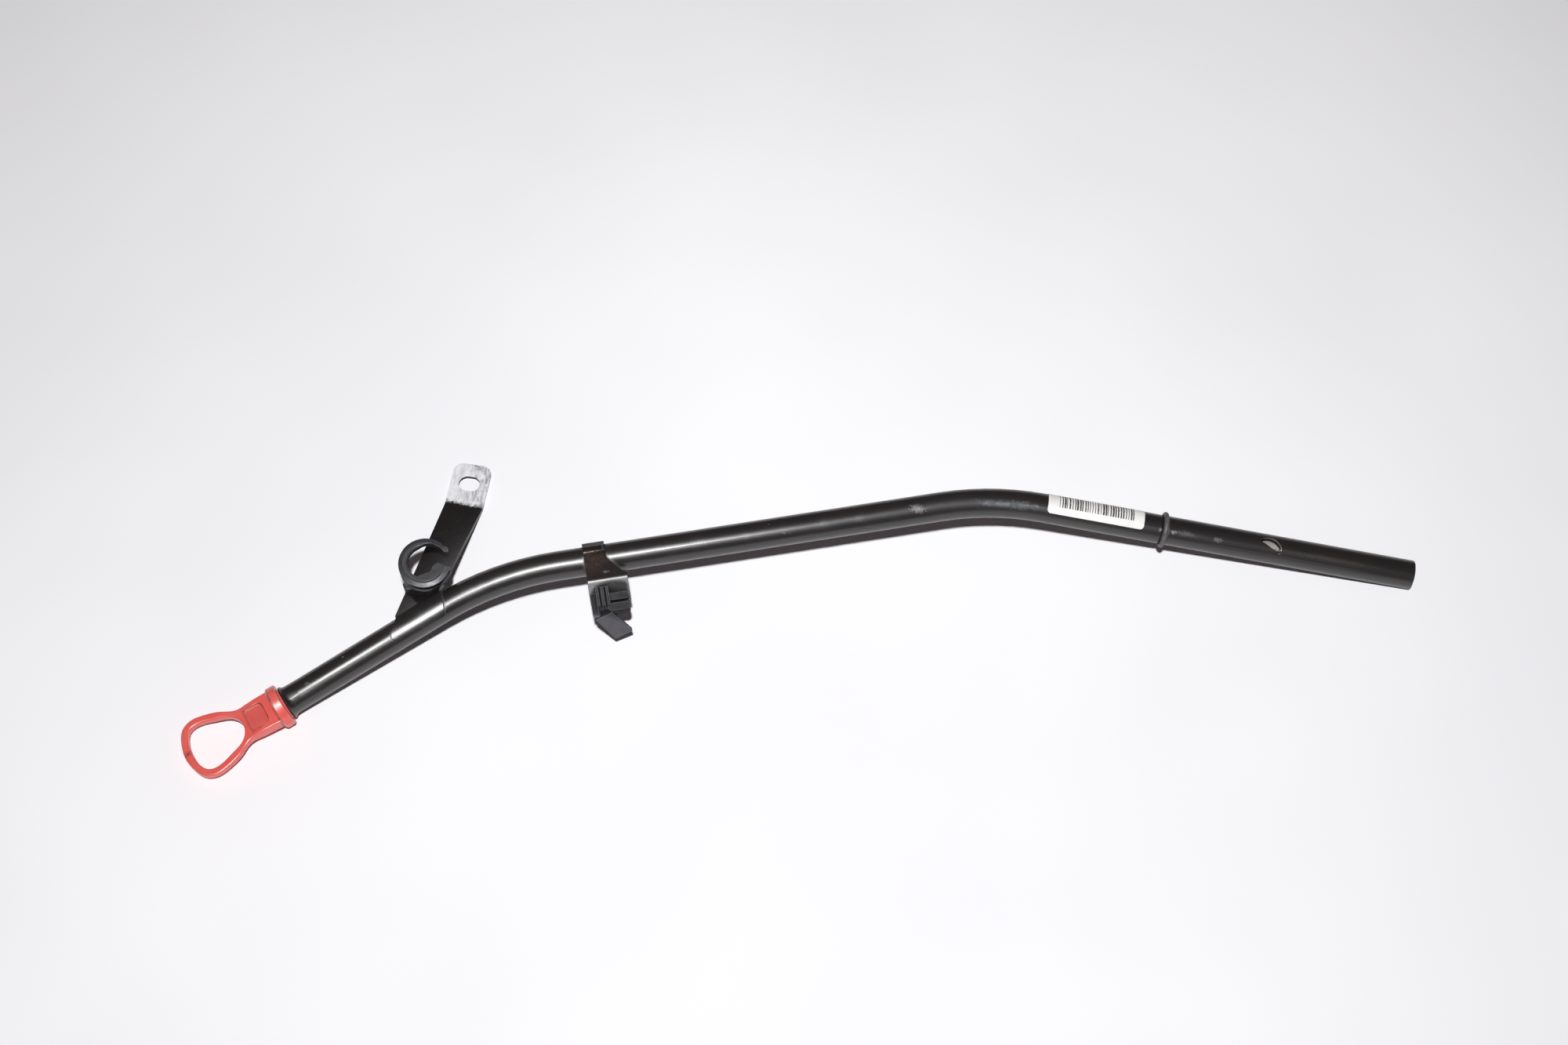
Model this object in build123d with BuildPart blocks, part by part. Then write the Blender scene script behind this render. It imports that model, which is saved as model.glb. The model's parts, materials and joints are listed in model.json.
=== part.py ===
from build123d import *
from math import asin, atan2, cos, degrees, radians, sin
import os

os.makedirs("parts", exist_ok=True)

# Sizes in millimetres, angles in degrees.
# Guide tube: three straight runs joined by two bends in one plane
tube_od = 14.0
tube_wall = 1.0
bend_radius = 150.0
entry_run = 113.8
middle_run = 240.6
lower_run = 207.7
upper_bend = 22.7
lower_bend = 19.0
flare_od = 16.6
flare_length = 7.0
seal_from_end = 123.4
seal_section = 2.4
seal_proud = 1.7
groove_room = 0.9
shoulder_round = 0.5
window_radius = 6.3
window_chord = 1.7
window_from_end = 71.9
window_shift = -2.0
window_turn = -20.0
window_skew = -25.9

# How the tube lies on a table: heading, pitch and roll of the plane of its bends
lie_turn = 9.75
lie_pitch = 0.65
lie_roll = 26.85
lie_height = 32.5
lie_east = -148.5
lie_north = 6.2

# Mounting bracket: strip from a saddle on the tube down to a slotted tab flat on the table
strip_width = 19.0
strip_thick = 2.0
saddle_from_mouth = 63.8
saddle_length = 24.0
saddle_near = 31.0
saddle_far = -62.0
saddle_skew = 7.0
saddle_skew_right = 4.0
tab_reach = 73.0
tab_bearing = 78.5
tab_turn = -9.0
tab_length = 24.0
tab_corner = 5.0
slot_length = 10.5
slot_width = 8.4
slot_from_fold = 12.8

# Hose clip: open ring standing on the strip, with a jaw that grips the strip's left edge
ring_along = 0.723
ring_across = -0.11
ring_lift = 7.4
ring_lean = 9.8
ring_radius = 12.3
ring_bore = 7.8
ring_height = 10.0
ring_gap_from = -9.0
ring_gap_to = 36.0
jaw_along = 0.77
jaw_width = 5.4
jaw_length = 5.6

# Clip bracket: sheet folded round the tube, flaring into a plate for the wiring clip
sheet_thick = 1.5
sheet_from_bend = 42.7
sheet_width = 19.2
sheet_neck = 10.5
sheet_face_turn = 17.7
sheet_drop = 7.2
plate_length = 12.0

# Wiring clip
clip_base_width = 15.5
clip_base_length = 13.5
clip_stem = 5.0
clip_height = 7.0
tongue_width = 8.8
tongue_tip_width = 9.6
tongue_length = 18.0

# Dipstick: moulded handle with collar and plug, two seals and a spring-steel blade
collar_od = 21.0
collar_length = 5.0
collar_gap = 0.7
handle_length = 53.8
handle_lift = 2.75
handle_turn = -1.0
loop_length = 33.8
loop_width = 31.8
loop_thick = 3.7
loop_side = 3.6
loop_end = 3.9
hole_length = 26.9
neck_width = 17.0
neck_flare = 0.5
neck_thick = 6.6
neck_thin_from = 13.0
neck_thin_to = 27.0
edge_round = 0.7
recess_from_mouth = 15.5
recess_length = 8.4
recess_width = 10.7
recess_depth = 0.9
plug_length = 22.0
plug_seal_section = 2.0
blade_width = 6.0
blade_thick = 0.7
blade_short = 8.0
gauge_hole = 2.4
gauge_low = 12.0
gauge_high = 34.0

# Label
label_length = 47.2
label_from_end = 181.4
label_thick = 0.15
label_near = 19.9
label_far = -129.6
label_corner = 1.8

# Clearances: a welded or stuck face, and a seal sliding in the bore
seat_gap = 0.02
slide_gap = 0.05

tube_r = tube_od / 2
bore_r = tube_r - tube_wall

# The plane of the bends, its first bend corner at the origin and its middle run along X
lie = Plane(Location((lie_east, lie_north, lie_height), (lie_roll, -lie_pitch, lie_turn), Extrinsic.XYZ))
entry_2d = Vector(cos(radians(upper_bend)), sin(radians(upper_bend)))
lower_2d = Vector(cos(radians(lower_bend)), -sin(radians(lower_bend)))
mouth_2d = entry_2d * -entry_run
tail_2d = Vector(middle_run, 0) + lower_2d * lower_run

# Section planes square to the tube: X out of the plane of the bends, Y to their inside, Z down the tube
entry_way = lie.from_local_coords(entry_2d) - lie.origin
lower_way = lie.from_local_coords(lower_2d) - lie.origin
mouth = Plane(lie.from_local_coords(mouth_2d), x_dir=lie.z_dir, z_dir=entry_way)
middle = Plane(lie.origin, x_dir=lie.z_dir, z_dir=lie.x_dir)
tail = Plane(lie.from_local_coords(tail_2d), x_dir=lie.z_dir, z_dir=lower_way)


def side_of(section):
    """Plane through the tube's axis: X is the radius and Y runs down the tube."""
    return Plane(section.origin, x_dir=section.x_dir, z_dir=section.y_dir * -1)


def radial(section, turn):
    """Unit vector out from the tube's axis at an angle from the section's X."""
    return section.x_dir * cos(radians(turn)) + section.y_dir * sin(radians(turn))


mouth_side = side_of(mouth)
seal_side = side_of(tail.offset(-seal_from_end))
mouth_axis = Axis(mouth.origin, mouth.z_dir)
tail_axis = Axis(tail.origin, tail.z_dir)

# Guide tube
seal_centre_r = tube_r + seal_proud - seal_section / 2
groove_r = seal_section / 2 + seat_gap
neck_r = seal_centre_r - groove_r - tube_wall
lip_slope = Vector(0.86, -0.51)
with BuildPart() as guide_tube:
    with BuildLine(lie) as tube_run:
        FilletPolyline(
            tuple(mouth_2d + entry_2d * flare_length),
            (0, 0),
            (middle_run, 0),
            tuple(tail_2d),
            radius=bend_radius,
        )
    with BuildSketch(mouth.offset(flare_length)):
        Circle(tube_r)
        Circle(bore_r, mode=Mode.SUBTRACT)
    sweep(path=tube_run.line)
    # trumpet mouth
    with BuildSketch(mouth_side):
        with BuildLine():
            outside = Spline((tube_r, flare_length), (flare_od / 2, 0), tangents=((0, -1), lip_slope))
            lip = Line(outside @ 1, outside @ 1 + Vector(lip_slope.Y, -lip_slope.X) * tube_wall)
            inside = Spline(lip @ 1, (bore_r, flare_length), tangents=(lip_slope * -1, (0, 1)))
            Line(inside @ 1, outside @ 0)
        make_face()
    revolve(axis=mouth_axis)
    # rolled groove for the lower seal: the wall is pushed in, then the groove is cut with room above the seal
    groove_mid = -groove_room / 2
    bead_half = 1.2 * seal_section + groove_room / 2
    with BuildSketch(seal_side):
        with BuildLine():
            bead = ThreePointArc(
                (bore_r, groove_mid - bead_half), (neck_r, groove_mid), (bore_r, groove_mid + bead_half)
            )
            in_wall = bore_r + tube_wall / 2
            Polyline(bead @ 1, (in_wall, groove_mid + bead_half), (in_wall, groove_mid - bead_half), bead @ 0)
        make_face()
    revolve(axis=tail_axis)
    with BuildSketch(seal_side) as groove:
        with Locations((tube_r, groove_mid)):
            Rectangle(seal_section, 2 * bead_half, align=(Align.MIN, Align.CENTER))
        with Locations((seal_centre_r, groove_mid)):
            SlotCenterToCenter(groove_room, 2 * groove_r, rotation=90)
        on_tube = groove.vertices().filter_by(lambda v: abs(v.X - tube_r) < 0.001)
        fillet(on_tube.sort_by_distance((tube_r, groove_mid))[0:2], shoulder_round)
    revolve(axis=tail_axis, mode=Mode.SUBTRACT)
    # half-moon window punched through one side of the wall
    window = Plane((tail.offset(-window_from_end)).origin, x_dir=tail.z_dir, z_dir=radial(tail, window_turn))
    with BuildSketch(window):
        with Locations(Location((0, window_shift, 0), window_skew)):
            with Locations((0, -window_chord)):
                Circle(window_radius)
            Rectangle(
                3 * window_radius, 2 * window_radius, align=(Align.CENTER, Align.MAX), mode=Mode.SUBTRACT
            )
    extrude(amount=tube_od, mode=Mode.SUBTRACT)
    chamfer(guide_tube.edges().filter_by(GeomType.CIRCLE).sort_by_distance(tail.origin)[0:2], length=0.25)

# Rubber ring in the rolled groove
with BuildPart() as tube_seal:
    with BuildSketch(seal_side):
        with Locations((seal_centre_r, 0)):
            Circle(seal_section / 2)
    revolve(axis=tail_axis)

# Mounting bracket: tab, twisted strip and saddle
saddle_in = tube_r + seat_gap
saddle_out = saddle_in + strip_thick
saddle_mid = mouth.offset(saddle_from_mouth + saddle_length / 2)
far_out = radial(mouth, saddle_far)
strip_end = Plane(
    saddle_mid.origin + far_out * (saddle_in + strip_thick / 2),
    x_dir=mouth.z_dir,
    z_dir=mouth.z_dir.cross(far_out),
)
fold_point = Vector(
    strip_end.origin.X + tab_reach * cos(radians(tab_bearing)),
    strip_end.origin.Y + tab_reach * sin(radians(tab_bearing)),
    0,
)
tab = Plane(fold_point, x_dir=(cos(radians(tab_turn)), sin(radians(tab_turn)), 0), z_dir=(0, 0, 1))
strip_start = Plane(fold_point + Vector(0, 0, strip_thick / 2), x_dir=tab.x_dir, z_dir=tab.y_dir * -1)

# saddle: a shell on the tube, cut along the lie of the bends to a skewed outline
saddle_end = saddle_from_mouth + saddle_length
with BuildPart() as saddle_shell:
    with BuildSketch(mouth.offset(saddle_from_mouth - saddle_skew)):
        with BuildLine():
            under = CenterArc((0, 0), saddle_in, saddle_far, saddle_near - saddle_far)
            over = CenterArc((0, 0), saddle_out, saddle_far, saddle_near - saddle_far)
            Line(under @ 0, over @ 0)
            Line(under @ 1, over @ 1)
        make_face()
    extrude(amount=saddle_length + saddle_skew)
    with BuildSketch(Plane(mouth.origin, x_dir=mouth.z_dir, z_dir=mouth.x_dir)) as saddle_outline:
        with BuildLine():
            Polyline(
                (saddle_from_mouth, saddle_out),
                (saddle_from_mouth, tube_r),
                (saddle_from_mouth - 0.75 * saddle_skew, 0.35 * tube_r),
                (saddle_from_mouth - saddle_skew, -0.25 * tube_r),
                (saddle_end - saddle_skew_right, -0.65 * tube_r),
                (saddle_end - 0.4 * saddle_skew_right, 0.15 * tube_r),
                (saddle_end, tube_r),
                (saddle_end, saddle_out),
                close=True,
            )
        make_face()
        fillet(saddle_outline.vertices().group_by(Axis.Y)[0:2], 1.5)
    extrude(amount=tube_od, mode=Mode.INTERSECT)

with BuildPart() as mounting_bracket:
    with BuildSketch(tab) as tab_outline:
        Rectangle(strip_width, tab_length, align=(Align.CENTER, Align.MIN))
        fillet(tab_outline.vertices().group_by(Axis.Y)[-1], tab_corner)
        with Locations((0, slot_from_fold)):
            SlotOverall(slot_length, slot_width, mode=Mode.SUBTRACT)
    extrude(amount=strip_thick)
    with BuildSketch(strip_start):
        Rectangle(strip_width, strip_thick)
    with BuildSketch(strip_end):
        Rectangle(saddle_length, strip_thick)
    loft(ruled=True)
    add(saddle_shell.part)

# Room that the hose clip leaves for the strip, and for everything below the strip
strip_room = []
for below in (seat_gap, 2 * ring_height):
    room_height = strip_thick + seat_gap + below
    with BuildPart() as room:
        with BuildSketch(strip_start):
            with Locations((0, strip_thick / 2 + seat_gap)):
                Rectangle(strip_width + 2 * seat_gap, room_height, align=(Align.CENTER, Align.MAX))
        with BuildSketch(strip_end):
            with Locations((0, strip_thick / 2 + seat_gap)):
                Rectangle(saddle_length + 2 * seat_gap, room_height, align=(Align.CENTER, Align.MAX))
        loft(ruled=True)
    strip_room.append(room.part)

# Hose clip: its places are points of the twisted upper face, along the strip and across it
face_start = strip_start.origin + strip_start.y_dir * (strip_thick / 2)
face_end = strip_end.origin + strip_end.y_dir * (strip_thick / 2)


def face_across(along):
    """Half of the face's width, as a vector, at a share of the way from the fold to the saddle."""
    return strip_start.x_dir * (strip_width / 2 * (1 - along)) + strip_end.x_dir * (saddle_length / 2 * along)


def face_at(along, across):
    """Point of the face; across runs from -1 at the left edge to 1 at the right edge."""
    return face_start * (1 - along) + face_end * along + face_across(along) * across


ring_axis = Vector(0, -sin(radians(ring_lean)), cos(radians(ring_lean)))
ring_foot = face_at(ring_along, ring_across) + Vector(0, 0, ring_lift)
ring_base = Plane(ring_foot, x_dir=(1, 0, 0), z_dir=ring_axis)
jaw_edge = face_across(jaw_along)
jaw_down = face_at(1, -1) - face_at(0, -1)
jaw = Plane(face_at(jaw_along, -1), x_dir=jaw_edge, z_dir=jaw_down.cross(jaw_edge))
with BuildPart() as hose_clip:
    # ring with a grooved wall and a raised inner rim
    with BuildSketch(Plane(ring_base.origin, x_dir=ring_base.x_dir, z_dir=ring_base.y_dir * -1)):
        with BuildLine():
            Polyline(
                (ring_bore, 0),
                (ring_radius, 0),
                (ring_radius, 2.4),
                (ring_radius - 1.2, 3.0),
                (ring_radius - 1.2, ring_height - 4.0),
                (ring_radius, ring_height - 3.4),
                (ring_radius, ring_height - 1.9),
                (ring_radius - 2.2, ring_height - 1.3),
                (ring_radius - 2.4, ring_height),
                (ring_bore + 0.6, ring_height),
                (ring_bore, ring_height - 0.6),
                close=True,
            )
        make_face()
    revolve(axis=Axis(ring_base.origin, ring_base.z_dir))
    # away from the tube the wall thins to a hoop
    with BuildSketch(Plane(ring_base.origin, x_dir=ring_base.y_dir, z_dir=ring_base.x_dir)):
        with BuildLine():
            Polyline(
                (-0.25 * ring_radius, -1),
                (-0.25 * ring_radius, 0),
                (0.2 * ring_radius, ring_height - 3.4),
                (2 * ring_radius, ring_height - 3.4),
                (2 * ring_radius, -1),
                close=True,
            )
        make_face()
    extrude(amount=2 * ring_radius, both=True, mode=Mode.SUBTRACT)
    # the bore widens towards the opening between the two arms
    with BuildSketch(ring_base):
        with Locations((0.31 * ring_bore, 0.08 * ring_bore)):
            Circle(1.1 * ring_bore)
        with BuildLine():
            opening = CenterArc((0, 0), ring_radius + 2, ring_gap_from, ring_gap_to - ring_gap_from)
            Polyline(opening @ 1, (0, 0), opening @ 0)
        make_face()
    extrude(amount=ring_height + 1, mode=Mode.SUBTRACT)
    # rounded tip of the far arm, and the near arm's spring tongue rising into the bore
    with BuildSketch(ring_base.offset(ring_height - 3.4)):
        with Locations(Location((0, 0, 0), ring_gap_to)):
            with Locations((ring_radius - 0.5, -0.2)):
                Circle(1.25)
    extrude(amount=1.8)
    with BuildSketch(ring_base.offset(3.0)):
        with BuildLine():
            Polyline(
                (-0.64 * ring_bore, -0.99 * ring_bore),
                (-0.14 * ring_bore, -0.78 * ring_bore),
                (0.39 * ring_bore, -0.58 * ring_bore),
                (0.59 * ring_bore, -0.15 * ring_bore),
                (0.83 * ring_bore, 0.01 * ring_bore),
                (0.84 * ring_radius, -0.16 * ring_radius),
                (0.9 * ring_radius, -0.36 * ring_radius),
                (0.65 * ring_radius, -0.7 * ring_radius),
                (0, -0.9 * ring_radius),
                (-0.4 * ring_radius, -0.8 * ring_radius),
                close=True,
            )
        make_face()
    extrude(amount=ring_height - 4.6)
    # foot from the ring down to the strip, ending on its face
    with BuildSketch(ring_base.offset(1.0)):
        with Locations((-0.42 * ring_radius, -0.62 * ring_radius)):
            RectangleRounded(0.6 * ring_radius, 0.5 * ring_radius, 1.2)
    extrude(amount=-1.2 * ring_height)
    add(strip_room[1], mode=Mode.SUBTRACT)
    # jaw round the strip's left edge
    with BuildSketch(jaw.offset(-strip_thick - 2.0)):
        with Locations((-0.9, 0)):
            RectangleRounded(jaw_width + 0.9, jaw_length, 0.8, align=(Align.MIN, Align.CENTER))
    extrude(amount=strip_thick + 4.2)
    add(strip_room[0], mode=Mode.SUBTRACT)

# Clip bracket: top leg and face bent square round the tube, then a plate in the plane of the bends
sheet_in = tube_r + seat_gap
face_out = Vector(cos(radians(sheet_face_turn)), sin(radians(sheet_face_turn)))
face_dn = Vector(-face_out.Y, face_out.X)
corner_in = face_out * sheet_in - face_dn * sheet_in
corner_out = face_out * (sheet_in + sheet_thick) - face_dn * (sheet_in + sheet_thick)
knee_out = face_out * (sheet_in + sheet_thick) + face_dn * sheet_drop
knee_in = Vector(knee_out.X - sheet_thick, knee_out.Y - sheet_thick * face_out.Y / (1 + face_out.X))
plate_top = knee_out.X
plate_end = knee_out.Y + plate_length
sheet_plane = middle.offset(sheet_from_bend)
with BuildPart() as clip_bracket:
    with BuildSketch(sheet_plane) as fold_profile:
        with BuildLine():
            Polyline(
                corner_in - face_out * sheet_in * 1.15,
                corner_in,
                knee_in,
                (plate_top - sheet_thick, plate_end),
                (plate_top, plate_end),
                knee_out,
                corner_out,
                corner_out - face_out * (sheet_in * 1.15 + sheet_thick),
                close=True,
            )
        make_face()
    extrude(amount=sheet_width)
    folds = clip_bracket.edges().filter_by(Axis(middle.origin, middle.z_dir))
    fillet(folds.sort_by_distance(sheet_plane.from_local_coords(corner_out))[0], 2.6)
    fillet(
        clip_bracket.edges().filter_by(Axis(middle.origin, middle.z_dir)).sort_by_distance(
            sheet_plane.from_local_coords(corner_in)
        )[0],
        1.1,
    )
    fillet(
        clip_bracket.edges().filter_by(Axis(middle.origin, middle.z_dir)).sort_by_distance(
            sheet_plane.from_local_coords(knee_out)
        )[0],
        4.0,
    )
    # the right edge sweeps in from the plate to the narrow neck over the tube
    with BuildSketch(lie.offset(-tube_od)):
        with BuildLine():
            start = (sheet_from_bend + sheet_neck, tube_od)
            Line(start, (sheet_from_bend + sheet_neck, 1.5))
            sweep_in = Spline(
                (sheet_from_bend + sheet_neck, 1.5),
                (sheet_from_bend + sheet_neck + 1.9, -2.1),
                (sheet_from_bend + sheet_width, -knee_out.Y + 1.0),
                tangents=((0, -1), (1, -0.6)),
            )
            Polyline(
                sweep_in @ 1, (sheet_from_bend + sheet_width + 2, -knee_out.Y + 1.0),
                (sheet_from_bend + sheet_width + 2, tube_od), start,
            )
        make_face()
    extrude(amount=3 * tube_od, mode=Mode.SUBTRACT)
    # hole for the wiring clip's stem
    stem_at = Vector(sheet_from_bend + sheet_width / 2 + 0.6, -knee_out.Y - 0.64 * plate_length)
    with BuildSketch(lie.offset(plate_top)):
        with Locations(stem_at):
            Circle(clip_stem / 2 + 0.1)
    extrude(amount=-2 * sheet_thick, mode=Mode.SUBTRACT)

# Wiring clip: base with a curved back edge, ribbed cheek, two prongs, hanging tongue and a barbed stem
clip_seat = lie.from_local_coords(stem_at + Vector(0, 0, plate_top + seat_gap))
clip_plane = Plane(clip_seat, x_dir=lie.x_dir, z_dir=lie.z_dir)
tongue_dir = (clip_plane.x_dir * 0.42 - clip_plane.y_dir * 0.56 - clip_plane.z_dir * 0.71).normalized()
tongue_across = (clip_plane.x_dir - tongue_dir * tongue_dir.dot(clip_plane.x_dir)).normalized()
tongue_root = clip_plane.from_local_coords((-3.0, -10.4, 0.6))
tongue = Plane(tongue_root, x_dir=tongue_across, z_dir=tongue_across.cross(tongue_dir) * -1)
with BuildPart() as wiring_clip:
    with BuildSketch(clip_plane) as base_outline:
        RectangleRounded(clip_base_width, clip_base_length, 2.0)
        with Locations((0.5, clip_base_length / 2 - 1.3 - 20.0)):
            Circle(20.0, mode=Mode.INTERSECT)
    extrude(amount=1.6)
    # ribbed cheek along the left side
    with BuildSketch(clip_plane.offset(1.0)):
        with Locations((-clip_base_width / 2 + 3.6, -2.8)):
            RectangleRounded(6.0, clip_base_length - 0.4, 0.8)
    extrude(amount=clip_height - 1.0)
    # its lower end slopes down to the tongue
    cheek_end = -2.8 - clip_base_length / 2
    with BuildSketch(Plane(clip_plane.origin, x_dir=clip_plane.y_dir, z_dir=clip_plane.x_dir)):
        with BuildLine():
            Polyline(
                (cheek_end, clip_height + 0.1),
                (cheek_end + 4.6, clip_height + 0.1),
                (cheek_end, clip_height - 5.0),
                close=True,
            )
        make_face()
    extrude(amount=-clip_base_width, mode=Mode.SUBTRACT)
    with BuildSketch(clip_plane.offset(clip_height)):
        with Locations((-clip_base_width / 2 + 2.4, -1.6), (-clip_base_width / 2 + 4.9, -1.6)):
            Rectangle(1.1, clip_base_length + 4.0)
    extrude(amount=-2.2, mode=Mode.SUBTRACT)
    # ear beside the cheek
    with BuildSketch(clip_plane):
        with Locations((-clip_base_width / 2 - 0.6, -4.6)):
            RectangleRounded(3.4, 11.4, 1.2)
    extrude(amount=2.8)
    # two prongs reaching to the right, the lower one leaning out
    with BuildSketch(clip_plane.offset(1.0)):
        with Locations((2.8, -1.6)):
            SlotOverall(10.6, 3.4)
    extrude(amount=clip_height - 2.0)
    with BuildSketch(clip_plane.offset(clip_height - 1.0)):
        with Locations((2.8, -6.4)):
            SlotOverall(10.6, 3.4)
    extrude(amount=clip_height - 2.0, dir=clip_plane.y_dir * -0.47 - clip_plane.z_dir * 0.88)
    # tongue, wider at its tip
    tongue_right = 3.5
    tongue_top = 3.0
    tongue_tip = tongue_top - tongue_length
    with BuildSketch(tongue) as tongue_outline:
        with BuildLine():
            Polyline(
                (tongue_right - tongue_width, tongue_top),
                (tongue_right, tongue_top),
                (tongue_tip_width / 2, tongue_tip),
                (-tongue_tip_width / 2, tongue_tip),
                close=True,
            )
        make_face()
        fillet(tongue_outline.vertices().group_by(Axis.Y)[0], 0.6)
    extrude(amount=1.6)
    # stem through the plate, with barbs below it
    with BuildSketch(Plane(clip_plane.origin, x_dir=clip_plane.x_dir, z_dir=clip_plane.y_dir * -1)):
        with BuildLine():
            Polyline(
                (0, 0.5),
                (clip_stem / 2, 0.5),
                (clip_stem / 2, -sheet_thick - 0.3),
                (clip_stem / 2 + 0.7, -sheet_thick - 0.5),
                (clip_stem / 2 - 0.6, -sheet_thick - 3.0),
                (clip_stem / 2 + 0.5, -sheet_thick - 3.2),
                (clip_stem / 2 - 0.8, -sheet_thick - 6.0),
                (0, -sheet_thick - 7.0),
                close=True,
            )
        make_face()
    revolve(axis=Axis(clip_plane.origin, clip_plane.z_dir))

# Handle: loop and neck lie flat, a little lifted from the line of the plug
entry_dir = mouth.z_dir
handle_slope = degrees(asin(entry_dir.Z)) - handle_lift
handle_bearing = degrees(atan2(entry_dir.Y, entry_dir.X)) + handle_turn
handle_out = Vector(
    -cos(radians(handle_bearing)) * cos(radians(handle_slope)),
    -sin(radians(handle_bearing)) * cos(radians(handle_slope)),
    -sin(radians(handle_slope)),
)
handle_side = Vector(sin(radians(handle_bearing)), -cos(radians(handle_bearing)), 0)
handle = Plane(mouth.origin, x_dir=handle_out, z_dir=handle_out.cross(handle_side))
lip_end = -tube_wall * lip_slope.X
collar_face = lip_end - collar_gap
collar_back = collar_face - collar_length
plug_r = bore_r - 0.3
plug_seal_r = bore_r - slide_gap - plug_seal_section / 2
plug_seal_at = (plug_length * 0.42, plug_length * 0.72)
half_loop = loop_width / 2
half_neck = neck_width / 2
half_hole = half_loop - loop_side
loop_from = handle_length - loop_length
hole_from = handle_length - loop_end - hole_length
neck_from = -collar_back - 2.0
half_root = half_neck + neck_flare
neck_slope = neck_flare / (loop_from - neck_from)

# One side of the loop's outer line and of its hole, as shares of their length and half width
outer_side = [(0.30, 0.79), (0.53, 0.955), (0.69, 1.0), (0.86, 0.855), (0.963, 0.45)]
hole_side = [
    (0.045, 0.35), (0.15, 0.595), (0.37, 0.80), (0.6, 0.968), (0.736, 1.0), (0.866, 0.913), (0.952, 0.65)
]
outer_right = [(loop_from + loop_length * u, half_loop * v) for u, v in outer_side]
outer_left = [(x, -y) for x, y in reversed(outer_right)]
hole_right = [(hole_from + hole_length * u, half_hole * v) for u, v in hole_side]
hole_left = [(x, -y) for x, y in reversed(hole_right)]
with BuildPart() as dipstick_handle:
    with BuildSketch(handle):
        with BuildLine():
            loop_line = Spline(
                (loop_from, half_neck),
                *outer_right,
                (handle_length, 0),
                *outer_left,
                (loop_from, -half_neck),
                tangents=((1, -neck_slope), (-1, -neck_slope)),
            )
            Polyline(loop_line @ 1, (neck_from, -half_root), (neck_from, half_root), loop_line @ 0)
        make_face()
        with BuildSketch(mode=Mode.SUBTRACT):
            with BuildLine():
                Spline((hole_from, 0), *hole_right, (hole_from + hole_length, 0), *hole_left, periodic=True)
            make_face()
    extrude(amount=neck_thick, both=True)
    # seen from the side the neck is thick and thins into the loop
    with BuildSketch(Plane(handle.origin, x_dir=handle.x_dir, z_dir=handle.y_dir * -1)):
        with BuildLine():
            upper = Spline(
                (neck_thin_from, neck_thick / 2), (neck_thin_to, loop_thick / 2), tangents=((1, 0), (1, 0))
            )
            lower = Spline(
                (neck_thin_from, -neck_thick / 2), (neck_thin_to, -loop_thick / 2), tangents=((1, 0), (1, 0))
            )
            Polyline(upper @ 0, (0, neck_thick / 2), (0, -neck_thick / 2), lower @ 0)
            Polyline(
                upper @ 1,
                (handle_length + 1, loop_thick / 2),
                (handle_length + 1, -loop_thick / 2),
                lower @ 1,
            )
        make_face()
    extrude(amount=loop_width, both=True, mode=Mode.INTERSECT)
    # moulded edges are rounded all round the outline and the hole
    walls = dipstick_handle.faces().filter_by(lambda f: abs(f.normal_at(f.center()).dot(handle.z_dir)) < 0.2)
    rims = walls.edges().filter_by(lambda e: abs((e % 0.5).dot(handle.z_dir)) < 0.5)
    fillet(rims.filter_by(lambda e: handle.to_local_coords(e @ 0.5).X > neck_from + 0.1), edge_round)
    # shallow square recess on the neck, with sloping walls
    recess_top = neck_thick / 2 - recess_depth
    with BuildSketch(handle.offset(recess_top)):
        with Locations((recess_from_mouth, 0)):
            RectangleRounded(recess_length, recess_width, 1.8)
    extrude(amount=2 * recess_depth, taper=-35, mode=Mode.SUBTRACT)
    # collar and plug with two seal grooves
    with BuildSketch(mouth_side):
        with BuildLine():
            Polyline(
                (0, collar_back),
                (collar_od / 2 - 0.8, collar_back),
                (collar_od / 2, collar_back + 0.8),
                (collar_od / 2, collar_face - 0.5),
                (collar_od / 2 - 0.5, collar_face),
                (bore_r + 1.4, collar_face),
                (plug_r, collar_face + 4.0),
                (plug_r, plug_length - 1.5),
                (plug_r - 1.2, plug_length),
                (0, plug_length),
                close=True,
            )
        make_face()
    revolve(axis=mouth_axis)
    with BuildSketch(mouth_side):
        with Locations((plug_seal_r, plug_seal_at[0]), (plug_seal_r, plug_seal_at[1])):
            Circle(plug_seal_section / 2 + seat_gap)
    revolve(axis=mouth_axis, mode=Mode.SUBTRACT)
    # slot in the plug's end that holds the blade
    with BuildSketch(mouth.offset(plug_length)):
        Rectangle(blade_width + 2 * seat_gap, blade_thick + 2 * seat_gap)
    extrude(amount=-0.45 * plug_length, mode=Mode.SUBTRACT)

# Plug seals
with BuildPart() as plug_seal_upper:
    with BuildSketch(mouth_side):
        with Locations((plug_seal_r, plug_seal_at[0])):
            Circle(plug_seal_section / 2)
    revolve(axis=mouth_axis)

with BuildPart() as plug_seal_lower:
    with BuildSketch(mouth_side):
        with Locations((plug_seal_r, plug_seal_at[1])):
            Circle(plug_seal_section / 2)
    revolve(axis=mouth_axis)

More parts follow.
